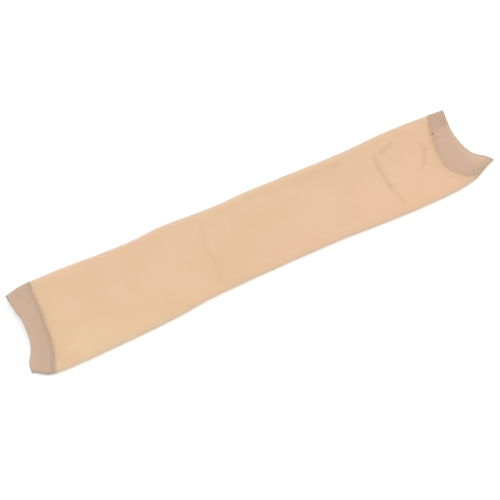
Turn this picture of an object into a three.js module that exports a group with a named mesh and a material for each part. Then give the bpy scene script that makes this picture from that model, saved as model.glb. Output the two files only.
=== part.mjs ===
// Arm compression sleeve: a sheer knitted tube with a doubled welt at each end, lying flat.
// Millimetres. +X runs from the wrist end to the upper-arm end, +Y to the far side fold, +Z up.
// The origin is the middle of the footprint, on the surface that the sleeve lies on.
import * as THREE from "three";

// The sleeve as it lies
const sleeveLength = 404;
const flatWidth = 84;
const loft = 7.4;
const knitWall = 1;

// The welts, where the fabric is doubled
const weltWall = 1.3;
const wristWeltDepth = 16.5;
const upperArmWeltDepth = 18;
const seamGap = 0.4;

// The lips curve inwards between their tips
const wristHollow = 10;
const upperArmHollow = 16.8;
const lowerLipRecess = 1;

// The side folds, where the upper layer rolls over into the lower one
const upperRoll = 5;
const lowerRoll = 3.6;

// Creases, puckers and dents of the upper layer
const creaseWidth = 6;
const creaseRise = 0.9;

// Colours of the knit and of the doubled welts
const knitColor = 0xe9c29e;
const weltColor = 0xcfb29a;

// How finely the skins are divided
const upperColumns = 24;
const lowerColumns = 8;
const rollColumns = 3;
const weltSpans = [{ upTo: 1, steps: 5 }];
const tubeSpans = [
  { upTo: 0.08, steps: 4 },
  { upTo: 0.34, steps: 6 },
  { upTo: 0.42, steps: 5 },
  { upTo: 0.8, steps: 8 },
  { upTo: 1, steps: 17 },
];

// Sections along the sleeve. along: share of the length. far, near: distance of each side fold
// from the long axis, share of half the flat width. height, fold: top of the upper layer and
// middle of the side folds, shares of the loft. farRoll, nearRoll: width over which the upper
// layer rolls into each fold, share of the upper roll.
const sections = [
  { along: 0, far: 0.89, near: 0.74, height: 1, fold: 0.42, farRoll: 1, nearRoll: 1 },
  { along: 0.022, far: 0.93, near: 0.89, height: 1, fold: 0.43, farRoll: 1, nearRoll: 1 },
  { along: 0.049, far: 0.985, near: 0.96, height: 1, fold: 0.44, farRoll: 1, nearRoll: 1 },
  { along: 0.086, far: 1, near: 0.971, height: 1, fold: 0.45, farRoll: 1.1, nearRoll: 0.9 },
  { along: 0.197, far: 0.955, near: 0.967, height: 1.02, fold: 0.46, farRoll: 1.2, nearRoll: 0.9 },
  { along: 0.264, far: 0.938, near: 0.945, height: 1, fold: 0.46, farRoll: 1.3, nearRoll: 0.9 },
  { along: 0.328, far: 0.978, near: 0.89, height: 1.02, fold: 0.45, farRoll: 1.4, nearRoll: 1 },
  { along: 0.443, far: 0.936, near: 0.867, height: 1.04, fold: 0.44, farRoll: 1.8, nearRoll: 1.1 },
  { along: 0.537, far: 0.955, near: 0.879, height: 1.02, fold: 0.43, farRoll: 2.2, nearRoll: 1.3 },
  { along: 0.616, far: 0.938, near: 0.895, height: 1, fold: 0.42, farRoll: 2.2, nearRoll: 1.6 },
  { along: 0.739, far: 0.922, near: 0.968, height: 0.98, fold: 0.41, farRoll: 2, nearRoll: 1.9 },
  { along: 0.845, far: 0.96, near: 0.994, height: 0.98, fold: 0.41, farRoll: 1.6, nearRoll: 2 },
  { along: 0.911, far: 0.95, near: 0.962, height: 0.99, fold: 0.41, farRoll: 1.4, nearRoll: 1.9 },
  { along: 0.943, far: 0.932, near: 0.884, height: 1, fold: 0.41, farRoll: 1.3, nearRoll: 1.7 },
  { along: 0.97, far: 0.897, near: 0.776, height: 1, fold: 0.42, farRoll: 1.2, nearRoll: 1.5 },
  { along: 1, far: 0.87, near: 0.69, height: 1, fold: 0.42, farRoll: 1.1, nearRoll: 1.3 },
];

// The two ends. across: -1 at the near fold, 1 at the far fold. lip: how far the lip lies inside
// its tips, share of the end's hollow. seam: from the lip to the welt's seam, share of its depth.
const wristEnd = [
  { across: -1, lip: 0, seam: 0.91 },
  { across: -0.85, lip: 0.08, seam: 0.98 },
  { across: -0.6, lip: 0.43, seam: 0.96 },
  { across: -0.3, lip: 0.79, seam: 0.9 },
  { across: 0, lip: 0.95, seam: 0.86 },
  { across: 0.3, lip: 1, seam: 0.93 },
  { across: 0.65, lip: 0.86, seam: 1.04 },
  { across: 1, lip: 0.84, seam: 1.16 },
];
const upperArmEnd = [
  { across: -1, lip: 0, seam: 1.34 },
  { across: -0.88, lip: 0.3, seam: 1.5 },
  { across: -0.74, lip: 0.56, seam: 1.53 },
  { across: -0.6, lip: 0.77, seam: 1.51 },
  { across: -0.46, lip: 0.92, seam: 1.45 },
  { across: -0.25, lip: 1, seam: 1.32 },
  { across: 0, lip: 1, seam: 1.16 },
  { across: 0.3, lip: 0.91, seam: 0.98 },
  { across: 0.6, lip: 0.7, seam: 0.88 },
  { across: 1, lip: 0.28, seam: 0.7 },
];

// Creases, puckers and dents. Each runs from one point to another: along is a share of the
// length, across a share of the half width. width and rise are shares of the crease's own, and
// a rise below zero is a dent.
const creases = [
  // long slanting crease near the upper-arm end, with the dip beside it
  { along: 0.806, across: 0.7, toAlong: 0.778, toAcross: 0.42, width: 0.9, rise: 0.8 },
  { along: 0.778, across: 0.42, toAlong: 0.769, toAcross: -0.76, width: 0.9, rise: 0.8 },
  { along: 0.757, across: 0.3, toAlong: 0.748, toAcross: -0.6, width: 1.3, rise: -0.3 },
  // short fold beyond it
  { along: 0.805, across: 0.56, toAlong: 0.84, toAcross: 0.68, width: 0.7, rise: 0.7 },
  // curved fold beside the upper-arm welt
  { along: 0.889, across: 0.21, toAlong: 0.872, toAcross: -0.05, width: 0.9, rise: 0.6 },
  { along: 0.872, across: -0.05, toAlong: 0.852, toAcross: -0.32, width: 0.9, rise: 0.6 },
  // puckers that run into the far end of the upper-arm seam
  { along: 0.85, across: 0.92, toAlong: 0.93, toAcross: 0.9, width: 0.6, rise: 0.9 },
  { along: 0.86, across: 0.78, toAlong: 0.925, toAcross: 0.76, width: 0.6, rise: 0.7 },
  { along: 0.87, across: 0.6, toAlong: 0.915, toAcross: 0.58, width: 0.6, rise: 0.5 },
  // hollow and ribs in the far part of the upper-arm welt
  { along: 0.955, across: 0.78, toAlong: 0.972, toAcross: 0.7, width: 0.8, rise: -0.3 },
  { along: 0.94, across: 0.6, toAlong: 0.965, toAcross: 0.56, width: 0.6, rise: 0.5 },
  { along: 0.925, across: 0.34, toAlong: 0.955, toAcross: 0.3, width: 0.6, rise: 0.4 },
  // crease across the middle
  { along: 0.398, across: 0.6, toAlong: 0.381, toAcross: 0, width: 0.7, rise: 0.5 },
  { along: 0.381, across: 0, toAlong: 0.376, toAcross: -0.92, width: 0.7, rise: 0.5 },
  // soft dent and gathers beside the wrist welt
  { along: 0.09, across: 0.15, toAlong: 0.105, toAcross: -0.12, width: 2, rise: -0.4 },
  { along: 0.012, across: -0.86, toAlong: 0.05, toAcross: -0.84, width: 0.6, rise: 0.5 },
  { along: 0.02, across: -0.62, toAlong: 0.075, toAcross: -0.66, width: 0.6, rise: 0.4 },
  { along: 0.055, across: -0.42, toAlong: 0.1, toAcross: -0.5, width: 0.8, rise: 0.4 },
  // long soft swells
  { along: 0.2, across: 0.3, toAlong: 0.34, toAcross: 0.1, width: 3.5, rise: 0.5 },
  { along: 0.45, across: -0.2, toAlong: 0.7, toAcross: 0.1, width: 3.5, rise: 0.4 },
];

/** A table's column as a smooth curve over another of its columns. */
function curveThrough(rows, positionKey, valueKey) {
  const positions = rows.map((row) => row[positionKey]);
  const values = rows.map((row) => row[valueKey]);
  const curve = new THREE.CubicInterpolant(positions, values, 1);
  const [first, last] = [positions[0], positions.at(-1)];
  return (position) => curve.evaluate(THREE.MathUtils.clamp(position, first, last))[0];
}

const farAt = curveThrough(sections, "along", "far");
const nearAt = curveThrough(sections, "along", "near");
const heightAt = curveThrough(sections, "along", "height");
const foldAt = curveThrough(sections, "along", "fold");
const farRollAt = curveThrough(sections, "along", "farRoll");
const nearRollAt = curveThrough(sections, "along", "nearRoll");
const wristLipAt = curveThrough(wristEnd, "across", "lip");
const wristSeamAt = curveThrough(wristEnd, "across", "seam");
const upperArmLipAt = curveThrough(upperArmEnd, "across", "lip");
const upperArmSeamAt = curveThrough(upperArmEnd, "across", "seam");

// Lines across the sleeve, each giving its place along for a share across
const wristLip = (across) => wristHollow * wristLipAt(across);
const wristSeam = (across) => wristLip(across) + wristWeltDepth * wristSeamAt(across);
const upperArmLip = (across) => sleeveLength - upperArmHollow * upperArmLipAt(across);
const upperArmSeam = (across) => upperArmLip(across) - upperArmWeltDepth * upperArmSeamAt(across);

/** Distance of the side fold on this side of the long axis, at a place along the sleeve. */
function halfWidth(x, across) {
  const shareAt = across < 0 ? nearAt : farAt;
  return (flatWidth / 2) * shareAt(x / sleeveLength);
}

/** How much a crease lifts the upper layer at a point of the plan. */
function creaseLift(crease, point) {
  const from = new THREE.Vector2(crease.along * sleeveLength, 0);
  from.y = crease.across * halfWidth(from.x, crease.across);
  const to = new THREE.Vector2(crease.toAlong * sleeveLength, 0);
  to.y = crease.toAcross * halfWidth(to.x, crease.toAcross);
  const run = to.clone().sub(from);
  const share = point.clone().sub(from).dot(run) / run.lengthSq();
  const nearest = from.addScaledVector(run, THREE.MathUtils.clamp(share, 0, 1));
  const away = nearest.distanceTo(point) / (creaseWidth * crease.width);
  return creaseRise * crease.rise * Math.max(0, 1 - away ** 2) ** 2;
}

/** Quarter of an ellipse: 0 at the fold and 1 where the roll ends. */
function rollShape(fromFold, roll) {
  return fromFold < roll ? Math.sqrt(1 - (1 - fromFold / roll) ** 2) : 1;
}

/** A point of the knit's skin. inset is 0 on the outside and the wall on the inside. */
function skinPoint(x, across, isUpper, inset) {
  const along = x / sleeveLength;
  const edge = halfWidth(x, across) - inset;
  const y = across * edge;
  const fromFold = edge - Math.abs(y);
  const fold = loft * foldAt(along);
  if (!isUpper) {
    const lowered = rollShape(fromFold, lowerRoll - inset);
    return new THREE.Vector3(x, y, THREE.MathUtils.lerp(fold, inset, lowered));
  }
  const rollAt = across < 0 ? nearRollAt : farRollAt;
  const raised = rollShape(fromFold, upperRoll * rollAt(along) - inset);
  const point = new THREE.Vector2(x, y);
  const lift = creases.reduce((sum, crease) => sum + creaseLift(crease, point), 0);
  const top = loft * heightAt(along) + lift - inset;
  return new THREE.Vector3(x, y, THREE.MathUtils.lerp(fold, top, raised));
}

/** Places across one layer, from the near fold to the far one, closer together in the rolls. */
function placesAcross(columns) {
  const rollShare = upperRoll / (flatWidth / 2);
  const rolled = Array.from({ length: rollColumns }, (_, k) => {
    return 1 - rollShare * (1 - Math.cos((Math.PI / 2) * (k / rollColumns)));
  });
  const flat = Array.from({ length: columns + 1 }, (_, k) => {
    return THREE.MathUtils.lerp(rollShare - 1, 1 - rollShare, k / columns);
  });
  return [...rolled.map((share) => -share), ...flat, ...rolled.toReversed()];
}

/** The ring round the sleeve: over the upper layer, then back under the lower one. */
function ringPlaces() {
  const upper = placesAcross(upperColumns).map((across) => ({ across, isUpper: true }));
  const between = placesAcross(lowerColumns).slice(1, -1);
  const lower = between.map((across) => ({ across, isUpper: false }));
  return [...upper, ...lower.toReversed()];
}

/** Shares along a piece at which its rings lie. */
function ringShares(spans) {
  const shares = [0];
  for (const { upTo, steps } of spans) {
    const from = shares.at(-1);
    for (let k = 1; k <= steps; k++) {
      shares.push(THREE.MathUtils.lerp(from, upTo, k / steps));
    }
  }
  return shares;
}

/**
 * A hollow length of knit between two lines across the sleeve: an outer and an inner skin,
 * joined by a rim at each end.
 */
function knitBetween(startLine, endLine, spans, wall) {
  const ring = ringPlaces();
  const shares = ringShares(spans);
  const positions = [];
  for (const inset of [0, wall]) {
    for (const share of shares) {
      for (const { across, isUpper } of ring) {
        const start = startLine(across, isUpper);
        const x = THREE.MathUtils.lerp(start, endLine(across, isUpper), share);
        positions.push(...skinPoint(x, across, isUpper, inset).toArray());
      }
    }
  }

  const indices = [];
  const quad = (a, b, c, d) => indices.push(a, b, c, a, c, d);
  const corner = (skin, row, k) => (skin * shares.length + row) * ring.length + (k % ring.length);
  const [outer, inner] = [0, 1];
  const last = shares.length - 1;
  for (let k = 0; k < ring.length; k++) {
    const next = k + 1;
    for (let row = 0; row < last; row++) {
      const ahead = row + 1;
      quad(corner(outer, row, k), corner(outer, ahead, k), corner(outer, ahead, next), corner(outer, row, next));
      quad(corner(inner, row, k), corner(inner, row, next), corner(inner, ahead, next), corner(inner, ahead, k));
    }
    quad(corner(outer, 0, k), corner(outer, 0, next), corner(inner, 0, next), corner(inner, 0, k));
    quad(corner(outer, last, k), corner(inner, last, k), corner(inner, last, next), corner(outer, last, next));
  }
  const geometry = new THREE.BufferGeometry();
  geometry.setAttribute("position", new THREE.Float32BufferAttribute(positions, 3));
  geometry.setIndex(indices);
  geometry.computeVertexNormals();
  return geometry;
}

/** A named piece of the sleeve in its own colour. */
function knitPiece(name, geometry, color, roughness) {
  const material = new THREE.MeshStandardMaterial({ color, roughness, metalness: 0 });
  const mesh = new THREE.Mesh(geometry, material);
  mesh.name = name;
  return mesh;
}

// The tube runs from seam to seam, and each welt from its seam to its lip
const wristMouth = (across, isUpper) => wristLip(across) + (isUpper ? 0 : lowerLipRecess);
const wristWelt = knitBetween(wristMouth, (across) => wristSeam(across) - seamGap / 2, weltSpans, weltWall);
const sleeveTube = knitBetween(
  (across) => wristSeam(across) + seamGap / 2,
  (across) => upperArmSeam(across) - seamGap / 2,
  tubeSpans,
  knitWall,
);
const upperArmWelt = knitBetween((across) => upperArmSeam(across) + seamGap / 2, upperArmLip, weltSpans, weltWall);

const sleeve = new THREE.Group();
sleeve.add(
  knitPiece("sleeve_tube", sleeveTube, knitColor, 0.85),
  knitPiece("wrist_welt", wristWelt, weltColor, 0.9),
  knitPiece("upper_arm_welt", upperArmWelt, weltColor, 0.9),
);

const footprint = new THREE.Box3().setFromObject(sleeve).getCenter(new THREE.Vector3());
sleeve.position.set(-footprint.x, -footprint.y, 0);

export default sleeve;
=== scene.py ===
# %% [markdown]
# # A sheer knitted arm sleeve, lying flat
# The sleeve is one knitted tube with a doubled welt at each end. It lies on a pale table, so its
# upper layer rolls over into the lower one along two side folds. Everything here is in metres and
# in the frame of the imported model. That model is loaded first and never moved: each fine piece
# below stands in for one of its plain solids.

import math

import bpy
import numpy as np
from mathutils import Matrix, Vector


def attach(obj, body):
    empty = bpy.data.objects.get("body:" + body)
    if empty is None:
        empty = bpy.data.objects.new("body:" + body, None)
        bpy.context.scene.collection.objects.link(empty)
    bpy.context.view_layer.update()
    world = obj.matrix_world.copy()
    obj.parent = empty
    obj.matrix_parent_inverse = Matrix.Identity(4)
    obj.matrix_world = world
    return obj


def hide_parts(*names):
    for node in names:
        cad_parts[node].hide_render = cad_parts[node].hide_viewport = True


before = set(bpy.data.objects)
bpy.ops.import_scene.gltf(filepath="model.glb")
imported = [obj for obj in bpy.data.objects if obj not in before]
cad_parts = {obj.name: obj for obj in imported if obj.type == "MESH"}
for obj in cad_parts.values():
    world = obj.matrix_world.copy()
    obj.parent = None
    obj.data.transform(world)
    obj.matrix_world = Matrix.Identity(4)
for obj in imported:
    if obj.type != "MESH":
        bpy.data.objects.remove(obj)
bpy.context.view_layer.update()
MM = 0.001

# %% [markdown]
# ## Camera
# The photograph looks down at about 52 degrees, with the sleeve turned about 30 degrees to the
# picture. A lens of 72 mm on a 36 mm sensor gives its mild perspective. The camera could be turned
# by hand with three angles, but a track quaternion aims it at a point and keeps the horizon level.

# %% Camera
EYE = Vector((-0.248, -0.4178, 0.5996))
LOOKED_AT = Vector((-0.0167, -0.0104, 0.0))

camera_data = bpy.data.cameras.new("camera")
camera_data.lens = 72
camera_data.sensor_width = 36
camera = bpy.data.objects.new("camera", camera_data)
bpy.context.scene.collection.objects.link(camera)
camera.location = EYE
camera.rotation_mode = "QUATERNION"
camera.rotation_quaternion = (LOOKED_AT - EYE).to_track_quat("-Z", "Y")
bpy.context.scene.camera = camera
print("camera distance, m:", round((EYE - LOOKED_AT).length, 3))

# %% [markdown]
# ## Sizes
# A knitted tube has few sizes: how long it lies, how wide, how thick its wall is and how deep its
# welts are. They come first and have names, so that a change to one moves everything that depends
# on it.

# %% Sizes
SLEEVE_LENGTH = 404 * MM
HALF_WIDTH = 42 * MM
LOFT = 7.4 * MM
KNIT_WALL = 0.8 * MM
WELT_WALL = 1.2 * MM
WELT_PROUD = 0.1 * MM
WRIST_WELT_DEPTH = 16.5 * MM
UPPER_ARM_WELT_DEPTH = 18 * MM
WRIST_HOLLOW = 10 * MM
UPPER_ARM_HOLLOW = 16.8 * MM
LOWER_LIP_RECESS = 1 * MM
UPPER_ROLL = 5 * MM
LOWER_ROLL = 2.8 * MM
FOLD_SHARE = 0.8
SIDE_DROP = 0.16
MIDDLE_OF_FOOTPRINT = np.array([SLEEVE_LENGTH / 2, 0.111 * MM, 0])
print("sleeve, mm:", round(SLEEVE_LENGTH / MM), "by about", round(2 * HALF_WIDTH / MM))

# %% [markdown]
# ## Outline
# Soft cloth has no straight edge. A curve could be drawn by hand for each edge, but a table of
# sections is easier to change: each row says, at one place along the sleeve, how far each side fold
# lies from the long axis and how the upper layer rolls into it. A cubic curve runs through the rows.
# Two more tables say how each end's lip and seam curve from fold to fold.

# %% Sections along the sleeve
# along as a share of the length, then shares of the named sizes: far fold, near fold, height,
# height of the side folds, far roll, near roll
SECTIONS = np.array([
    (0, 0.89, 0.74, 1, 0.42, 1, 1),
    (0.022, 0.93, 0.89, 1, 0.43, 1, 1),
    (0.049, 0.985, 0.96, 1, 0.44, 1, 1),
    (0.086, 1, 0.971, 1, 0.45, 1.1, 0.9),
    (0.197, 0.955, 0.967, 1.02, 0.46, 1.2, 0.9),
    (0.264, 0.938, 0.945, 1, 0.46, 1.3, 0.9),
    (0.328, 0.978, 0.89, 1.02, 0.45, 1.4, 1),
    (0.443, 0.936, 0.867, 1.04, 0.44, 1.8, 1.1),
    (0.537, 0.955, 0.879, 1.02, 0.43, 2.2, 1.3),
    (0.616, 0.938, 0.895, 1, 0.42, 2.2, 1.6),
    (0.739, 0.922, 0.968, 0.98, 0.41, 2, 1.9),
    (0.845, 0.96, 0.994, 0.98, 0.41, 1.6, 2),
    (0.911, 0.95, 0.962, 0.99, 0.41, 1.4, 1.9),
    (0.943, 0.937, 0.884, 1, 0.41, 1.2, 1.7),
    (0.97, 0.914, 0.776, 1, 0.42, 0.9, 1.5),
    (1, 0.906, 0.69, 1, 0.42, 0.6, 1.3),
])


def curve_through(rows, column):
    """One column of a table as a smooth curve over the table's first column."""
    at, value = rows[:, 0], rows[:, column]
    before = np.concatenate([[2 * at[0] - at[1]], at[:-1]])
    after = np.concatenate([at[1:], [2 * at[-1] - at[-2]]])
    value_before = np.concatenate([[value[1]], value[:-1]])
    value_after = np.concatenate([value[1:], [value[-2]]])

    def read(place):
        place = np.clip(place, at[0], at[-1])
        k = np.clip(np.searchsorted(at, place) - 1, 0, len(at) - 2)
        step = at[k + 1] - at[k]
        back = step / 2 / (at[k] - before[k])
        ahead = step / 2 / (after[k + 1] - at[k + 1])
        p = (place - at[k]) / step
        return (
            (2 * back * p**2 - back * p**3 - back * p) * value_before[k]
            + ((1 + back) * p**3 - (1.5 + 2 * back) * p**2 + (back - 0.5) * p + 1) * value[k]
            + ((1.5 + ahead) * p**2 - (1 + ahead) * p**3 + 0.5 * p) * value[k + 1]
            + (ahead * p**3 - ahead * p**2) * value_after[k + 1]
        )

    return read


far_at, near_at, height_at, fold_at, far_roll_at, near_roll_at = (
    curve_through(SECTIONS, column) for column in range(1, 7)
)
print("widest place, mm:", round(max(far_at(SECTIONS[:, 0]) + near_at(SECTIONS[:, 0])) * HALF_WIDTH / MM, 1))

# %% Lips and seams
# across from the near fold at -1 to the far fold at 1, how far in the lip lies as a share of the
# hollow, and the way from lip to seam as a share of the welt's depth
WRIST_END = np.array([
    (-1, 0, 0.91),
    (-0.85, 0.08, 0.98),
    (-0.6, 0.43, 0.96),
    (-0.3, 0.77, 0.91),
    (0, 0.91, 0.88),
    (0.3, 0.95, 0.96),
    (0.65, 0.79, 1.08),
    (1, 0.73, 1.23),
])
UPPER_ARM_END = np.array([
    (-1, 0, 1.34),
    (-0.88, 0.28, 1.52),
    (-0.74, 0.53, 1.56),
    (-0.6, 0.74, 1.54),
    (-0.46, 0.88, 1.49),
    (-0.25, 0.94, 1.38),
    (0, 0.93, 1.23),
    (0.3, 0.82, 1.07),
    (0.6, 0.6, 0.97),
    (0.88, 0.32, 0.86),
    (1, 0.2, 0.78),
])
wrist_lip_at, wrist_seam_at = (curve_through(WRIST_END, k) for k in (1, 2))
upper_arm_lip_at, upper_arm_seam_at = (curve_through(UPPER_ARM_END, k) for k in (1, 2))


def wrist_lip(across):
    return WRIST_HOLLOW * wrist_lip_at(across)


def wrist_seam(across):
    return wrist_lip(across) + WRIST_WELT_DEPTH * wrist_seam_at(across)


def upper_arm_lip(across):
    return SLEEVE_LENGTH - UPPER_ARM_HOLLOW * upper_arm_lip_at(across)


def upper_arm_seam(across):
    return upper_arm_lip(across) - UPPER_ARM_WELT_DEPTH * upper_arm_seam_at(across)


print("wrist welt at the middle, mm:", round((wrist_seam(0.0) - wrist_lip(0.0)) / MM, 1))
print("upper-arm welt at the middle, mm:", round((upper_arm_lip(0.0) - upper_arm_seam(0.0)) / MM, 1))

# %% [markdown]
# ## Creases and dents
# Knit that was folded in a packet keeps faint lines. They could be sculpted, but a list of short
# segments repeats exactly and can be read: each has a smooth rounded bump across it, and the bumps
# add up. A rise below zero is a dent. Finer pressed lines go down into the knit, and the material
# carries a little painted shade along them.

# %% Creases
CREASE_WIDTH = 6 * MM
CREASE_RISE = 0.9 * MM
# from along and across, to along and across, then shares of the width and the rise
CREASES = (
    (0.812, 0.7, 0.797, 0.47, 0.8, 0.5),
    (0.797, 0.47, 0.788, 0.17, 0.8, 0.7),
    (0.788, 0.17, 0.78, -0.36, 0.8, 0.7),
    (0.78, -0.36, 0.778, -0.8, 0.8, 0.6),
    (0.757, 0.3, 0.748, -0.6, 1.3, -0.3),
    (0.808, 0.56, 0.842, 0.68, 0.6, 0.55),
    (0.898, 0.33, 0.895, 0.12, 0.6, 0.5),
    (0.895, 0.12, 0.875, -0.17, 0.7, 0.6),
    (0.875, -0.17, 0.854, -0.32, 0.6, 0.5),
    (0.85, 0.92, 0.93, 0.9, 0.6, 0.6),
    (0.862, 0.76, 0.922, 0.72, 0.5, 0.35),
    (0.885, 0.57, 0.915, 0.55, 0.45, 0.3),
    (0.955, 0.78, 0.972, 0.7, 0.8, -0.3),
    (0.94, 0.6, 0.965, 0.56, 0.6, 0.5),
    (0.925, 0.34, 0.955, 0.3, 0.6, 0.4),
    (0.398, 0.6, 0.381, 0, 0.6, 0.35),
    (0.381, 0, 0.376, -0.92, 0.6, 0.35),
    (0.09, 0.15, 0.105, -0.12, 2, -0.4),
    (0.012, -0.86, 0.05, -0.84, 0.6, 0.5),
    (0.02, -0.62, 0.075, -0.66, 0.6, 0.4),
    (0.055, -0.42, 0.1, -0.5, 0.8, 0.4),
    (0.2, 0.3, 0.34, 0.1, 3.5, 0.5),
    (0.45, -0.2, 0.7, 0.1, 3.5, 0.4),
    (0.4, 0.82, 0.54, 0.7, 1.3, -0.4),
    (0.54, 0.7, 0.7, 0.66, 1.5, -0.6),
    (0.7, 0.66, 0.77, 0.76, 1.3, -0.4),
)
print("creases and dents:", len(CREASES))

# %% Pressed lines, and short ticks where the knit is drawn in
PRESS_DEPTH = 0.16 * MM
# from along and across, to along and across, then shares of the crease width and the depth
PRESS_LINES = (
    (0.785, 0.47, 0.776, 0.17, 0.55, 0.8),
    (0.776, 0.17, 0.768, -0.36, 0.5, 1),
    (0.768, -0.36, 0.767, -0.8, 0.5, 0.7),
    (0.887, 0.33, 0.884, 0.12, 0.55, 0.6),
    (0.884, 0.12, 0.863, -0.17, 0.55, 0.8),
    (0.863, -0.17, 0.842, -0.32, 0.5, 0.4),
    (0.801, 0.47, 0.836, 0.59, 0.7, 0.7),
    (0.399, 0.57, 0.381, 0, 0.4, 0.25),
    (0.381, 0, 0.383, -0.39, 0.4, 0.35),
    (0.383, -0.39, 0.377, -0.93, 0.4, 0.3),
    (0.52, 0.71, 0.7, 0.66, 1.3, 0.25),
    (0.964, 0.68, 0.954, 0.5, 0.1, 2.2),
    (0.968, 0.64, 0.958, 0.46, 0.1, 1.8),
    (0.971, 0.6, 0.962, 0.44, 0.09, 1.4),
    (0.025, -0.68, 0.019, -0.89, 0.12, 0.9),
    (0.031, -0.68, 0.025, -0.9, 0.12, 0.9),
    (0.037, -0.73, 0.033, -0.93, 0.12, 0.9),
    (0.045, -0.73, 0.043, -0.91, 0.12, 0.9),
    (0.052, -0.77, 0.052, -0.9, 0.12, 0.9),
)
print("pressed lines and ticks:", len(PRESS_LINES))

# %% Side folds, and bumps along segments
EDGE_WANDER = 0.15 * MM
QUICK_WANDER = 6.1 * MM
SLOW_WANDER = 10.7 * MM
FAR_EASE = 0.6 * MM
FAR_EASE_SLOPE = 5


def half_width(x, across):
    """Distance of the side fold from the long axis, on this side of it, with a slight wander."""
    along = x / SLEEVE_LENGTH
    wander = np.sin(x / QUICK_WANDER + 2 * np.sign(across)) + 0.7 * np.sin(x / SLOW_WANDER - across)
    fold = HALF_WIDTH * np.where(across < 0, near_at(along), far_at(along))
    ease = FAR_EASE * np.clip(FAR_EASE_SLOPE * across, 0, 1)
    return fold + ease - EDGE_WANDER * (1 + 0.5 * wander)


def bumps(x, y, segments):
    """The smooth bumps of a table of segments, added up."""
    total = np.zeros_like(x)
    for along, across, to_along, to_across, width, rise in segments:
        start, end = (
            np.array([u * SLEEVE_LENGTH, v * half_width(u * SLEEVE_LENGTH, v)])
            for u, v in ((along, across), (to_along, to_across))
        )
        run = end - start
        share = np.clip(((x - start[0]) * run[0] + (y - start[1]) * run[1]) / (run @ run), 0, 1)
        away = np.hypot(x - start[0] - share * run[0], y - start[1] - share * run[1])
        total += rise * np.maximum(0, 1 - (away / (CREASE_WIDTH * width)) ** 2) ** 2
    return total


middle_width = sum(half_width(SLEEVE_LENGTH / 2, np.array([-1.0, 1.0])))
print("flat width half way along, mm:", round(middle_width / MM, 1))

# %% [markdown]
# ## Gathers and waves
# A welt is firmer than the tube, so it draws the knit beside it into small flutes that die away
# within a centimetre or two. The rest of the upper layer lies in slow, shallow waves. Sums of sine
# waves give both without any random numbers, so the cloth is the same on every run.

# %% Gathers and waves
GATHER_RISE = 0.13 * MM
GATHER_REACH_IN_TUBE = 11 * MM
GATHER_REACH_IN_WELT = 5 * MM
GATHER_SHARE_IN_WELT = 0.55
FINE_FLUTE = 1.15 * MM
WIDE_FLUTE = 1.72 * MM
FLUTE_SWELL = 7.3 * MM
WAVE_RISE = 0.16 * MM
# wavelength along and across in mm, phase, share
WAVES = ((70, 160, 0.3, 1), (41, -60, 1.9, 0.8), (26, 48, 4.0, 0.5), (-19, 33, 5.1, 0.3))


def gathers(x, y, across):
    """Flutes in the upper layer on both sides of each seam, larger in the tube than in the welt."""
    lift = np.zeros_like(x)
    for seam, inwards, phase in ((wrist_seam, 1, 0.4), (upper_arm_seam, -1, 2.1)):
        away = (x - seam(across)) * inwards
        reach = np.where(away > 0, GATHER_REACH_IN_TUBE, GATHER_REACH_IN_WELT)
        size = np.where(away > 0, 1, GATHER_SHARE_IN_WELT) * np.exp(-np.abs(away) / reach)
        ripple = np.sin(y / FINE_FLUTE + phase) + 0.8 * np.sin(y / WIDE_FLUTE + 2 * phase + 20 * x)
        ripple *= 0.6 + 0.4 * np.sin(y / FLUTE_SWELL + 3 * phase)
        lift += GATHER_RISE * size * ripple
    return lift


def waves(x, y):
    """Slow unevenness of the upper layer."""
    lift = np.zeros_like(x)
    for along, across, phase, share in WAVES:
        lift += WAVE_RISE * share * np.sin(2 * math.pi * (x / (along * MM) + y / (across * MM)) + phase)
    return lift


print("gathers rise, mm:", GATHER_RISE / MM, "waves rise, mm:", WAVE_RISE / MM)

# %% [markdown]
# ## The knit's skin
# Any point of the knit is found from its place along, its share across, its layer and its depth in
# the wall. In section, each side fold is two quarter ellipses: a wide one into the upper layer and a
# narrow one into the lower layer, which lies flat on the table.

# %% The knit's skin
TIP_PINCH = 0.5
TIP_REACH = 12 * MM


def roll_shape(from_fold, roll):
    """Quarter of an ellipse: 0 at the fold and 1 where the roll ends."""
    return np.sqrt(1 - (1 - np.clip(from_fold / roll, 0, 1)) ** 2)


def tip_pinch(x, across):
    """Share by which the two layers lie closer together at the corners of the mouths."""
    from_tip = np.maximum(np.minimum(x, SLEEVE_LENGTH - x), 0)
    return TIP_PINCH * np.clip(4 * np.abs(across) - 3, 0, 1) ** 2 * np.exp(-from_tip / TIP_REACH)


def skin(x, across, is_upper, inset):
    """Points of the knit. inset is 0 on the outside and grows inwards through the wall."""
    along = x / SLEEVE_LENGTH
    edge = half_width(x, across) - inset
    y = across * edge
    from_fold = edge - np.abs(y)
    fold = LOFT * FOLD_SHARE * fold_at(along) * (1 - tip_pinch(x, across))
    under = fold + (np.maximum(inset, 0) - fold) * roll_shape(from_fold, LOWER_ROLL - inset)
    roll = UPPER_ROLL * np.where(across < 0, near_roll_at(along), far_roll_at(along)) - inset
    top = LOFT * height_at(along) * (1 - SIDE_DROP * across**4) * (1 - tip_pinch(x, across)) - inset
    top = top + CREASE_RISE * bumps(x, y, CREASES) - PRESS_DEPTH * bumps(x, y, PRESS_LINES)
    top = top + gathers(x, y, across) + waves(x, y)
    over = fold + (top - fold) * roll_shape(from_fold, roll)
    return np.stack([x, y, np.where(is_upper, over, under)], -1) - MIDDLE_OF_FOOTPRINT


sample = skin(np.full(3, 0.5 * SLEEVE_LENGTH), np.array([-1.0, 0.0, 1.0]), np.array([True] * 3), np.zeros(3))
print("near fold, middle and far fold, mm:", np.round(sample / MM, 1).tolist())

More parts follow.
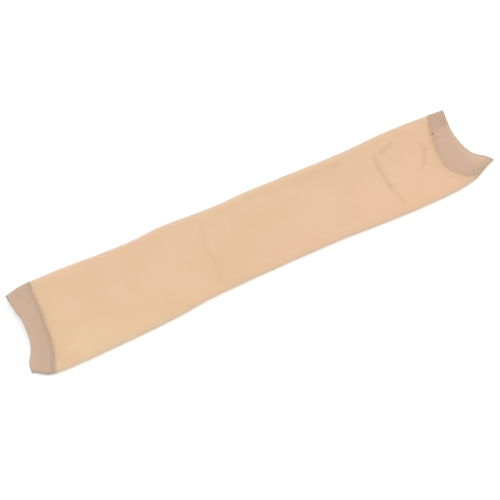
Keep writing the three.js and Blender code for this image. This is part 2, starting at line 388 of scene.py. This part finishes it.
# %% [markdown]
# ## From rings to a mesh
# A hollow length of knit is a grid of rings, like a doughnut pulled long: out along the outer skin,
# round a rim, back along the inner skin and round the other rim. A spin or a cylinder with Solidify
# could make it too, but a grid keeps the wales of the knit straight, and gives a clean UV map whose
# units are metres of cloth.

# %% Rings
ROLL_COLUMNS = 9
RIM_STEPS = 6


def places_across(columns):
    """Shares across one layer, from the near fold to the far one, closer together in the rolls."""
    roll_share = UPPER_ROLL / HALF_WIDTH
    turned = np.linspace(0, math.pi / 2, ROLL_COLUMNS, endpoint=False)
    rolled = 1 - roll_share * (1 - np.cos(turned))
    flat = np.linspace(roll_share - 1, 1 - roll_share, columns + 1)
    return np.concatenate([-rolled, flat, rolled[::-1]])


def ring_of(upper_columns, lower_columns):
    """The ring round the sleeve: over the upper layer, then back under the lower one."""
    upper, lower = places_across(upper_columns), places_across(lower_columns)[1:-1][::-1]
    return np.concatenate([upper, lower]), np.arange(len(upper) + len(lower)) < len(upper)


def rim_rows(share, side, wall):
    """Rows round a turned edge: share along the piece, how far past it, and depth in the wall."""
    turns = np.linspace(0, math.pi, RIM_STEPS)[1:-1]
    return [(share, side * wall / 2 * math.sin(t), wall * (1 - math.cos(t)) / 2) for t in turns]


def store(mesh, key, kind, slot, values):
    """Keeps one value a point on the mesh, for a material or a node tree to read."""
    mesh.attributes.new(key, kind, "POINT").data.foreach_set(slot, values.astype(np.float32).ravel())


def knit_mesh(name, start_line, end_line, rows, ring):
    """A closed wall of knit between two lines across the sleeve."""
    across, is_upper = ring
    start, end = start_line(across, is_upper), end_line(across, is_upper)
    x = np.array([start + (end - start) * share + past for share, past, _ in rows])
    points = np.array([skin(x[k], across, is_upper, rows[k][2]) for k in range(len(rows))])
    count = len(across)
    here, after = np.arange(count), (np.arange(count) + 1) % count
    middle = points[len(rows) // 4]
    girth = np.concatenate([[0], np.cumsum(np.linalg.norm(np.roll(middle, -1, axis=0) - middle, axis=1))])
    faces, cloth = [], []
    for row in range(len(rows)):
        ahead = (row + 1) % len(rows)
        this, other = row * count, ahead * count
        faces.append(np.stack([this + here, other + here, other + after, this + after], -1))
        u = np.stack([x[row], x[ahead], np.roll(x[ahead], -1), np.roll(x[row], -1)], -1)
        v = np.stack([girth[:-1], girth[:-1], girth[1:], girth[1:]], -1)
        cloth.append(np.stack([u, v], -1))
    mesh = bpy.data.meshes.new(name)
    mesh.from_pydata(points.reshape(-1, 3).tolist(), [], np.concatenate(faces).tolist())
    mesh.polygons.foreach_set("use_smooth", np.ones(len(mesh.polygons), bool))
    mesh.uv_layers.new(name="cloth").data.foreach_set("uv", np.concatenate(cloth).ravel())

    # pressed marks the pressed lines and ticks, which the material darkens as painted shade
    pressed = np.array([bumps(row, across * half_width(row, across), PRESS_LINES) for row in x])
    into_welt = np.where(x < SLEEVE_LENGTH / 2, wrist_seam(across) - x, x - upper_arm_seam(across))
    store(mesh, "across", "FLOAT", "value", np.broadcast_to(across, x.shape))
    store(mesh, "into_welt", "FLOAT", "value", into_welt)
    store(mesh, "from_lip", "FLOAT", "value", np.minimum(x - wrist_lip(across), upper_arm_lip(across) - x))
    store(mesh, "pressed", "FLOAT", "value", pressed * is_upper)
    piece = bpy.data.objects.new(name, mesh)
    bpy.context.scene.collection.objects.link(piece)
    print(name, "triangles:", 2 * len(mesh.polygons), "girth, mm:", round(girth[-1] / MM, 1))
    return piece


# %% [markdown]
# ## The knit tube
# The tube runs from seam to seam and tucks in a little under each welt, as sewn cloth does. Its
# outer skin dips just before the seam, where the stitches pull it in. The outer skin has many rows,
# because the creases show there, and the inner skin fewer.

# %% Knit tube
TUCK = 1.2 * MM
SEAM_DIP = 0.1 * MM
DIP_REACH = 2 * MM
# the steps from row to row beside each seam, in mm
SEAM_STEPS = (0.5, 0.5, 0.5, 0.6, 0.7, 0.9)


def tube_rows(outer_steps, inner_steps):
    """Rows of the tube: close together beside the seams, where the outer skin dips, then even."""
    length = upper_arm_seam(0.0) - wrist_seam(0.0)
    ends = np.cumsum(SEAM_STEPS) * MM / length
    between = np.linspace(ends[-1], 1 - ends[-1], outer_steps + 1)[1:-1]
    shares = np.concatenate([[0], ends, between, 1 - ends[::-1], [1]])
    from_end = np.minimum(shares, 1 - shares) * length
    dip = SEAM_DIP * np.clip(1 - (from_end - TUCK) / DIP_REACH, 0, 1) ** 2
    outer = [(share, 0, inset) for share, inset in zip(shares, dip)]
    return outer + [(share, 0, KNIT_WALL) for share in np.linspace(1, 0, inner_steps)]


knit_tube = knit_mesh(
    "knit_tube",
    lambda across, is_upper: wrist_seam(across) - TUCK,
    lambda across, is_upper: upper_arm_seam(across) + TUCK,
    tube_rows(320, 90),
    ring_of(128, 36),
)

# %% [markdown]
# ## The welts
# Each welt is the knit turned back on itself and sewn down, so it is thicker, firmer and a shade
# greyer than the tube. Its lip is a real fold, so that rim is a half circle. At the wrist mouth the
# lower layer's lip lies a millimetre further in than the upper one.

# %% Welts
HALF_WALL = WELT_WALL / 2


def welt_rows(outer_steps, inner_steps, seam_at):
    """Rows of a welt whose outer skin sinks to the tube's over the last tenth before the seam."""
    outer = [(share, 0, SEAM_DIP - (SEAM_DIP + WELT_PROUD) * min(1, 10 * abs(share - seam_at)))
             for share in np.linspace(0, 1, outer_steps + 1)]
    inner = [(share, 0, WELT_WALL) for share in np.linspace(1, 0, inner_steps + 1)]
    return outer + rim_rows(1, 1, WELT_WALL) + inner + rim_rows(0, -1, WELT_WALL)[::-1]


wrist_hem = knit_mesh(
    "wrist_hem",
    lambda across, is_upper: wrist_lip(across) + np.where(is_upper, 0, LOWER_LIP_RECESS) + HALF_WALL,
    lambda across, is_upper: wrist_seam(across) - HALF_WALL,
    welt_rows(34, 14, seam_at=1),
    ring_of(200, 60),
)
upper_arm_hem = knit_mesh(
    "upper_arm_hem",
    lambda across, is_upper: upper_arm_seam(across) + HALF_WALL,
    lambda across, is_upper: upper_arm_lip(across) - HALF_WALL,
    welt_rows(40, 16, seam_at=0),
    ring_of(200, 60),
)

# %% [markdown]
# ## Node helpers
# Node trees read best as ordinary expressions. A small class wraps a socket and overloads the
# operators, so that 1 - mask adds a Math node. One function makes any other kind of node: it takes
# the type, then the settings, then the values or links of its sockets.

# %% Node helpers


class Wire:
    """A node's output that can be used in expressions."""

    def __init__(self, tree, socket):
        self.tree, self.socket = tree, socket

    def maths(self, operation, *values):
        node = self.tree.nodes.new("ShaderNodeMath")
        node.operation = operation
        for slot, value in zip(node.inputs, values):
            connect(self.tree, slot, value)
        return Wire(self.tree, node.outputs[0])

    def __add__(self, other):
        return self.maths("ADD", self, other)

    def __sub__(self, other):
        return self.maths("SUBTRACT", self, other)

    def __mul__(self, other):
        return self.maths("MULTIPLY", self, other)

    def __truediv__(self, other):
        return self.maths("DIVIDE", self, other)

    def __rsub__(self, other):
        return self.maths("SUBTRACT", other, self)

    __radd__ = __add__
    __rmul__ = __mul__

    def absolute(self):
        return self.maths("ABSOLUTE", self)

    def fraction(self):
        return self.maths("FRACT", self)

    def sine(self):
        return self.maths("SINE", self)

    def ramp(self, low, high):
        """0 at low and 1 at high, smooth between them."""
        smooth = {"interpolation_type": "SMOOTHSTEP"}
        return make_node(self.tree, "ShaderNodeMapRange", smooth, Value=self, From_Min=low, From_Max=high)[0]


def connect(tree, slot, value):
    """Links a wire to a socket, or sets the socket's own value."""
    if isinstance(value, Wire):
        tree.links.new(value.socket, slot)
    else:
        slot.default_value = value


def make_node(tree, kind, settings=None, **sockets):
    """Makes a node and returns its outputs as wires. A socket is named, or counted as in_0."""
    node = tree.nodes.new(kind)
    for key, value in (settings or {}).items():
        setattr(node, key, value)
    for key, value in sockets.items():
        slot = node.inputs[int(key[3:])] if key.startswith("in_") else node.inputs[key.replace("_", " ")]
        connect(tree, slot, value)
    return [Wire(tree, output) for output in node.outputs]


def mix_colours(tree, factor, first, second):
    return make_node(tree, "ShaderNodeMix", {"data_type": "RGBA"}, in_0=factor, in_6=first, in_7=second)[2]


def on_screen(red, green, blue):
    """A colour as it shows on screen, 0 to 255, in the linear values that a shader takes."""
    shares = [c / 255 for c in (red, green, blue)]
    return (*[s / 12.92 if s <= 0.04045 else ((s + 0.055) / 1.055) ** 2.4 for s in shares], 1)


print("peach in linear values:", [round(c, 3) for c in on_screen(222, 182, 146)[:3]])

# %% [markdown]
# ## Knit
# Plain knit is columns of small V-shaped loops, called wales, that run along the sleeve. At this
# scale they are only a fine grain. The loops could be modelled one by one, but there are over a
# hundred thousand. A bump pattern on the cloth's own UV map follows the tube as it narrows, and the
# grooves between the loops carry painted shade. Yarn is never quite even, so faint streaks run along
# the wales and soft patches lie over them. Towards the upper-arm end the colour grows warmer, and
# each knit takes a little of the other one's colour beside that seam. Where the knit turns over, at
# the folds and the lips, it is painted greyer and darker, partly for the denser look of knit seen
# edge-on and partly as painted shade. The welt's near corner at the upper-arm end gets painted light.

# %% Knit material
WALE = 0.75 * MM
COURSE = 0.6 * MM
GROOVE_SHADE = 0.22
TUBE_COLOUR = on_screen(235, 203, 163)
WELT_COLOUR = on_screen(200, 172, 149)
# the dark shade colour: painted shade at the far fold and along the lips
PAINTED_SHADE = on_screen(150, 140, 126)


def knit_material(name, colour, pale, warm, deep, rim, beside, relief, opacity):
    """A knit material. The warm colour grows towards the upper-arm end and the wrist lip. The colour
    beside it shows close to the upper-arm seam, and as painted light at the near corner there. The deep
    one lies along the seam and is painted shade in grooves and pressed lines, and the rim colour and
    the painted shade darken the side folds and the lips."""
    material = bpy.data.materials.new(name)
    material.use_nodes = True
    tree = material.node_tree
    tree.nodes.clear()
    cloth = make_node(tree, "ShaderNodeUVMap", {"uv_map": "cloth"})[0]
    along, girth, _ = make_node(tree, "ShaderNodeSeparateXYZ", Vector=cloth)
    across, into_welt, from_lip, pressed = (
        make_node(tree, "ShaderNodeAttribute", {"attribute_name": key})[2]
        for key in ("across", "into_welt", "from_lip", "pressed")
    )
    place = make_node(tree, "ShaderNodeTexCoord")[3]

    leg = ((girth / WALE).fraction() - 0.5).absolute()
    loops = ((along / COURSE + leg) * math.pi).sine().absolute() * (1 - 4 * (leg - 0.25).absolute())
    fuzz = make_node(tree, "ShaderNodeTexNoise", Vector=place, Scale=1500.0, Detail=1.0)[0]
    stretched = make_node(tree, "ShaderNodeMapping", Vector=place, Scale=(40, 500, 500))[0]
    streaks = make_node(tree, "ShaderNodeTexNoise", Vector=stretched, Scale=1.0, Detail=2.0)[0]
    patches = make_node(tree, "ShaderNodeTexNoise", Vector=place, Scale=30.0, Detail=4.0)[0]
    drift = make_node(tree, "ShaderNodeTexNoise", Vector=place, Scale=9.0, Detail=1.0)[0]

    base = mix_colours(tree, (0.15 * streaks + 0.85 * patches).ramp(0.35, 0.65), colour, pale)
    share = along / SLEEVE_LENGTH
    by_wrist_lip = (1 - share) * (1 - from_lip.ramp(2 * MM, 8 * MM))
    warmth = 0.4 * drift.ramp(0.35, 0.65) + 0.4 * share + 0.5 * by_wrist_lip
    base = mix_colours(tree, warmth, base, warm)

    blend = 0.5 * share * (1 - into_welt.absolute().ramp(0.0, 3 * MM))
    # Painted light: the welt's near corner by the upper-arm lip takes the paler tube colour,
    # offsetting the shade that falls on that steep fold.
    near_tip_painted_light = 0.35 * share * (1 - across.ramp(-0.9, -0.4)) * (1 - from_lip.ramp(8 * MM, 20 * MM))
    base = mix_colours(tree, blend + near_tip_painted_light, base, beside)
    in_welt = into_welt.ramp(-0.5 * MM, 0.8 * MM)
    seam = in_welt * (1 - into_welt.ramp(1.5 * MM, 5 * MM)) * (0.3 - 0.2 * share)
    far_side = (0.1 + 0.22 * in_welt) * across.ramp(0.1, 0.9)
    far_tone = share * (far_side + 0.25 * (1 - from_lip.ramp(1 * MM, 6 * MM)))
    # Towards the deep colour: a band along the seam, darker towards the far side and the lip at the
    # upper-arm end, painted shade in the pressed lines and ticks, and in the grooves between the loops.
    base = mix_colours(tree, seam + far_tone + 0.3 * pressed + GROOVE_SHADE * (1 - loops), base, deep)

    # It stands partly for the greyer look of knit seen edge-on where it turns over.
    # Painted shade at the side folds and the lips: the rim colour, then the dark shade colour.
    # shaded_lip also paints the shadow inside the mouth's far corner at the wrist.
    fold = across.absolute()
    lip = 1 - from_lip.ramp(0.2 * MM, 1.5 * MM)
    turned_over = 0.6 * fold.ramp(0.95, 1.0) + lip * (0.55 + 0.35 * fold.ramp(0.75, 1.0))
    base = mix_colours(tree, turned_over, base, rim)
    shaded_lip = lip * (0.8 * share + 1.2 * (1 - share) * across.ramp(0.6, 0.95))
    base = mix_colours(tree, 0.6 * across.ramp(0.93, 1.0) + shaded_lip, base, PAINTED_SHADE)

    relief_map = 0.7 * loops + 0.3 * fuzz
    normal = make_node(tree, "ShaderNodeBump", Strength=relief, Distance=0.3 * MM, Height=relief_map)[0]
    shader = make_node(
        tree, "ShaderNodeBsdfPrincipled", None, Base_Color=base, Roughness=0.78 + 0.16 * fuzz, Normal=normal,
        Alpha=opacity, Specular_IOR_Level=0.25, Sheen_Weight=0.15, Sheen_Roughness=0.5,
    )[0]
    make_node(tree, "ShaderNodeOutputMaterial", Surface=shader)
    print(name, "nodes:", len(tree.nodes))
    return material


knit = knit_material(
    "sheer_knit",
    colour=TUBE_COLOUR,
    pale=on_screen(239, 209, 172),
    warm=on_screen(240, 201, 168),
    deep=on_screen(204, 168, 136),
    rim=on_screen(219, 202, 181),
    beside=WELT_COLOUR,
    relief=0.8,
    opacity=0.5,
)
welt = knit_material(
    "welt_knit",
    colour=WELT_COLOUR,
    pale=on_screen(205, 178, 156),
    warm=on_screen(209, 175, 150),
    deep=on_screen(176, 147, 123),
    rim=on_screen(164, 152, 138),
    beside=TUBE_COLOUR,
    relief=0.9,
    opacity=0.72,
)
knit_tube.data.materials.append(knit)
wrist_hem.data.materials.append(welt)
upper_arm_hem.data.materials.append(welt)

# %% [markdown]
# ## Hem stitches
# A stretch hem is sewn with a zigzag, so that the thread can stretch with the knit. Each stitch is a
# short thread, and there are hundreds, which is work for Geometry Nodes: the seam is a curve, it is
# resampled to one point a stitch, a thread is placed on each point, and every second one leans the
# other way. The seam's outward direction is stored on the curve, so the stitches lie on the cloth
# all the way round. Under the sleeve the table presses the threads flat.

# %% Stitch tree
ARC_STEPS = 6
THREAD_SIDES = 6


def vector_maths(tree, operation, **sockets):
    return make_node(tree, "ShaderNodeVectorMath", {"operation": operation}, **sockets)


def stitch_tree():
    """Zigzag stitches along the input's edges, which carry an outward direction."""
    tree = bpy.data.node_groups.new("zigzag_stitches", "GeometryNodeTree")
    tree.interface.new_socket("Geometry", in_out="OUTPUT", socket_type="NodeSocketGeometry")
    tree.interface.new_socket("Geometry", in_out="INPUT", socket_type="NodeSocketGeometry")
    for name in ("Pitch", "Stitch width", "Thread radius", "Rise"):
        tree.interface.new_socket(name, in_out="INPUT", socket_type="NodeSocketFloat")
    tree.interface.new_socket("Thread", in_out="INPUT", socket_type="NodeSocketMaterial")
    seam, pitch, width, radius, rise, thread, _ = make_node(tree, "NodeGroupInput")

    size = make_node(tree, "ShaderNodeCombineXYZ", X=pitch, Y=width)[0]
    length = vector_maths(tree, "LENGTH", Vector=size)[1]
    start = make_node(tree, "ShaderNodeCombineXYZ", X=length * -0.5)[0]
    middle = make_node(tree, "ShaderNodeCombineXYZ", Z=rise * 2)[0]
    end = make_node(tree, "ShaderNodeCombineXYZ", X=length * 0.5)[0]
    arc = make_node(tree, "GeometryNodeCurveQuadraticBezier", Resolution=ARC_STEPS,
                    Start=start, Middle=middle, End=end)[0]
    ring = make_node(tree, "GeometryNodeCurvePrimitiveCircle", {"mode": "RADIUS"},
                     Resolution=THREAD_SIDES, Radius=radius)[0]
    stitch = make_node(tree, "GeometryNodeCurveToMesh", Curve=arc, Profile_Curve=ring, Fill_Caps=True)[0]

    path = make_node(tree, "GeometryNodeMeshToCurve", Mesh=seam)[0]
    path = make_node(tree, "GeometryNodeResampleCurve", {"mode": "LENGTH"}, Curve=path, Length=pitch)[0]
    outward = make_node(tree, "GeometryNodeInputNamedAttribute", {"data_type": "FLOAT_VECTOR"},
                        Name="outward")[0]
    tangent = make_node(tree, "GeometryNodeInputTangent")[0]
    side = vector_maths(tree, "CROSS_PRODUCT", in_0=outward, in_1=tangent)[0]
    index = make_node(tree, "GeometryNodeInputIndex")[0]
    sign = index.maths("MODULO", index, 2.0) * 2 - 1
    run = vector_maths(tree, "SCALE", Vector=tangent, Scale=pitch)[0]
    lean = vector_maths(tree, "SCALE", Vector=side, Scale=width * sign)[0]
    towards = vector_maths(tree, "ADD", in_0=run, in_1=lean)[0]
    upright = make_node(tree, "FunctionNodeAlignRotationToVector", {"axis": "Z"}, Vector=outward)[0]
    turned = make_node(tree, "FunctionNodeAlignRotationToVector", {"axis": "X", "pivot_axis": "Z"},
                       Rotation=upright, Vector=towards)[0]
    placed = make_node(tree, "GeometryNodeInstanceOnPoints", Points=path, Instance=stitch,
                       Rotation=turned)[0]
    solid = make_node(tree, "GeometryNodeRealizeInstances", Geometry=placed)[0]
    solid = make_node(tree, "GeometryNodeSetMaterial", Geometry=solid, Material=thread)[0]
    make_node(tree, "NodeGroupOutput", Geometry=solid)
    return tree


def apply_nodes(piece, tree, **values):
    """Runs the tree on the piece and keeps the plain mesh that it makes, with no modifier left."""
    modifier = piece.modifiers.new("nodes", "NODES")
    modifier.node_group = tree
    for item in tree.interface.items_tree:
        key = item.name.replace(" ", "_")
        if item.in_out == "INPUT" and key in values:
            modifier[item.identifier] = values[key]
    bpy.context.view_layer.update()
    evaluated = piece.evaluated_get(bpy.context.evaluated_depsgraph_get())
    mesh = bpy.data.meshes.new_from_object(evaluated)
    piece.modifiers.remove(modifier)
    piece.data = mesh


zigzag = stitch_tree()
print("stitch tree nodes:", len(zigzag.nodes))

# %% Thread materials


def thread_material(name, colour, deep):
    """Twisted sewing thread, with painted shade in the grooves of its twist."""
    material = bpy.data.materials.new(name)
    material.use_nodes = True
    tree = material.node_tree
    tree.nodes.clear()
    place = make_node(tree, "ShaderNodeTexCoord")[3]
    twist = make_node(tree, "ShaderNodeTexNoise", Vector=place, Scale=2600.0, Detail=1.0)[0]
    base = mix_colours(tree, twist.ramp(0.35, 0.65), deep, colour)
    normal = make_node(tree, "ShaderNodeBump", Strength=0.4, Distance=0.05 * MM, Height=twist)[0]
    shader = make_node(tree, "ShaderNodeBsdfPrincipled", None, Base_Color=base, Roughness=0.6 + 0.2 * twist,
                       Normal=normal, Specular_IOR_Level=0.3)[0]
    make_node(tree, "ShaderNodeOutputMaterial", Surface=shader)
    return material


hem_thread = thread_material("hem_thread", on_screen(208, 181, 154), on_screen(188, 159, 132))
dark_thread = thread_material("dark_thread", on_screen(92, 62, 48), on_screen(48, 30, 24))
print("threads:", hem_thread.name, "and", dark_thread.name)

# %% Stitches along both seams
STITCH_PITCH = 1.5 * MM
STITCH_WIDTH = 1.7 * MM
STITCH_RISE = 0.1 * MM
THREAD_RADIUS = 0.12 * MM
LOWEST_PATH = 0.16 * MM
FLATTENED = 0.3


def seam_path(name, line):
    """A closed loop of edges along a seam, just above the knit, with its outward direction."""
    across, is_upper = ring_of(260, 220)
    x = line(across)
    points, ahead = (skin(place, across, is_upper, -WELT_PROUD) for place in (x, x + 0.5 * MM))
    round_step = np.roll(points, -1, axis=0) - np.roll(points, 1, axis=0)
    outward = np.cross(ahead - points, round_step)
    outward /= np.linalg.norm(outward, axis=1)[:, None]
    points[:, 2] = np.maximum(points[:, 2], LOWEST_PATH)
    count = len(x)
    mesh = bpy.data.meshes.new(name)
    mesh.from_pydata(points.tolist(), [(k, (k + 1) % count) for k in range(count)], [])
    store(mesh, "outward", "FLOAT_VECTOR", "vector", outward)
    piece = bpy.data.objects.new(name, mesh)
    bpy.context.scene.collection.objects.link(piece)
    return piece


def press_on_table(piece):
    """Squeezes what sinks below the table's top, where the threads are pressed flat."""
    points = np.empty(3 * len(piece.data.vertices))
    piece.data.vertices.foreach_get("co", points)
    heights = points[2::3]
    heights[heights < 0] *= FLATTENED
    piece.data.vertices.foreach_set("co", points)
    print(piece.name, "faces:", len(piece.data.polygons), "lowest, mm:", round(heights.min() / MM, 2))


wrist_stitches = seam_path("wrist_stitches", wrist_seam)
upper_arm_stitches = seam_path("upper_arm_stitches", upper_arm_seam)
for piece in (wrist_stitches, upper_arm_stitches):
    apply_nodes(piece, zigzag, Pitch=STITCH_PITCH, Stitch_width=STITCH_WIDTH,
                Thread_radius=THREAD_RADIUS, Rise=STITCH_RISE, Thread=hem_thread)
    press_on_table(piece)

# %% [markdown]
# ## Thread end
# At the upper-arm seam the sewing thread was knotted and cut, and its dark end shows as one small
# dot. A short curve that loops over itself, with a round bevel, gives a knot with two cut tails. It
# is made a mesh straight away, so that its place is in its mesh.

# %% Thread end
# in knot sizes, from the knot's middle
KNOT_PATH = (
    (-1.6, -0.3, -0.2), (-0.7, -0.35, 0.1), (0.25, -0.3, 0.3), (0.55, 0.25, 0.1),
    (0.05, 0.5, -0.1), (-0.4, 0.15, 0.2), (-0.1, -0.35, -0.05), (0.45, -0.2, 0.0),
    (0.4, 0.35, 0.3), (-0.15, 0.35, 0.35), (0.1, 0.9, 0.0), (0.5, 1.4, -0.3),
)
KNOT_SIZE = 0.75 * MM
KNOT_LIFT = 0.35 * MM
KNOT_THREAD_RADIUS = 0.17 * MM
KNOT_ALONG = SLEEVE_LENGTH / 2 + 171.5 * MM
KNOT_ACROSS = 0.39


def thread_knot(name):
    """A knot in the sewing thread, lying on the upper layer, with two cut tails."""
    spot = skin(np.array([KNOT_ALONG]), np.array([KNOT_ACROSS]), np.array([True]), 0.0)[0]
    spot[2] += KNOT_LIFT
    curve = bpy.data.curves.new(name, "CURVE")
    curve.dimensions = "3D"
    curve.resolution_u = 6
    curve.bevel_depth = KNOT_THREAD_RADIUS
    curve.bevel_resolution = 3
    curve.use_fill_caps = True
    spline = curve.splines.new("BEZIER")
    spline.bezier_points.add(len(KNOT_PATH) - 1)
    for point, place in zip(spline.bezier_points, KNOT_PATH):
        point.co = Vector(spot) + KNOT_SIZE * Vector(place)
        point.handle_left_type = point.handle_right_type = "AUTO"
    drawn = bpy.data.objects.new(name + "_curve", curve)
    bpy.context.scene.collection.objects.link(drawn)
    bpy.context.view_layer.update()
    mesh = bpy.data.meshes.new_from_object(drawn.evaluated_get(bpy.context.evaluated_depsgraph_get()))
    bpy.data.objects.remove(drawn)
    mesh.materials.clear()
    mesh.materials.append(dark_thread)
    piece = bpy.data.objects.new(name, mesh)
    bpy.context.scene.collection.objects.link(piece)
    print(name, "faces:", len(mesh.polygons))
    return piece


knot = thread_knot("thread_end")

# %% [markdown]
# ## What stands for what
# The fine pieces ride on the model's one body. Each length of knit replaces its plain solid, and its
# stitches or thread end ride on the same body.

# %% Pieces and the frame
for piece, node, slot, length, sewn in (
    (knit_tube, "sleeve_tube", "knit", 352 * MM, knot),
    (wrist_hem, "wrist_welt", "welt", 16.5 * MM, wrist_stitches),
    (upper_arm_hem, "upper_arm_welt", "welt", 22 * MM, upper_arm_stitches),
):
    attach(piece, "root")
    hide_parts(node)
    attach(sewn, "root")
    print(piece.name, "with", sewn.name, "stands for", node)

# %% [markdown]
# ## Floor and light
# A plain pale floor, two large soft lamps and a bright even sky, as for a catalogue picture. Most of
# the light comes evenly from the sky, so the knit shows its own shade and the floor stays white. The
# lamps only add a little modelling: the far right one is the stronger, so that the creases shade
# towards the near side.

# %% Floor
FLOOR_REACH = 6.0
FLOOR_DROP = 0.2 * MM
floor_mesh = bpy.data.meshes.new("floor")
corners = [(FLOOR_REACH * a, FLOOR_REACH * b, -FLOOR_DROP) for a, b in ((-1, -1), (1, -1), (1, 1), (-1, 1))]
floor_mesh.from_pydata(corners, [], [(0, 1, 2, 3)])
floor = bpy.data.objects.new("floor", floor_mesh)
bpy.context.scene.collection.objects.link(floor)
floor_material = bpy.data.materials.new("pale_floor")
floor_material.use_nodes = True
floor_shader = floor_material.node_tree.nodes["Principled BSDF"]
floor_shader.inputs["Base Color"].default_value = (0.9, 0.9, 0.9, 1)
floor_shader.inputs["Roughness"].default_value = 0.9
floor_mesh.materials.append(floor_material)
print("floor below the sleeve, mm:", FLOOR_DROP / MM)

# %% Light
SKY_STRENGTH = 1.27


def soft_light(name, place, width, power):
    """A square lamp that faces the sleeve."""
    data = bpy.data.lights.new(name, "AREA")
    data.shape = "SQUARE"
    data.size = width
    data.energy = power
    lamp = bpy.data.objects.new(name, data)
    bpy.context.scene.collection.objects.link(lamp)
    lamp.location = place
    lamp.rotation_mode = "QUATERNION"
    lamp.rotation_quaternion = (-Vector(place)).to_track_quat("-Z", "Y")


soft_light("far_right_light", (1.1, 0.9, 1.3), 1.2, 11)
soft_light("near_left_light", (-1.0, -1.1, 1.2), 1.5, 9)

world = bpy.data.worlds.new("studio")
world.use_nodes = True
sky = world.node_tree.nodes["Background"]
sky.inputs["Color"].default_value = (1, 1, 1, 1)
sky.inputs["Strength"].default_value = SKY_STRENGTH
bpy.context.scene.world = world
bpy.context.scene.view_settings.view_transform = "Standard"
print("sky strength:", SKY_STRENGTH)
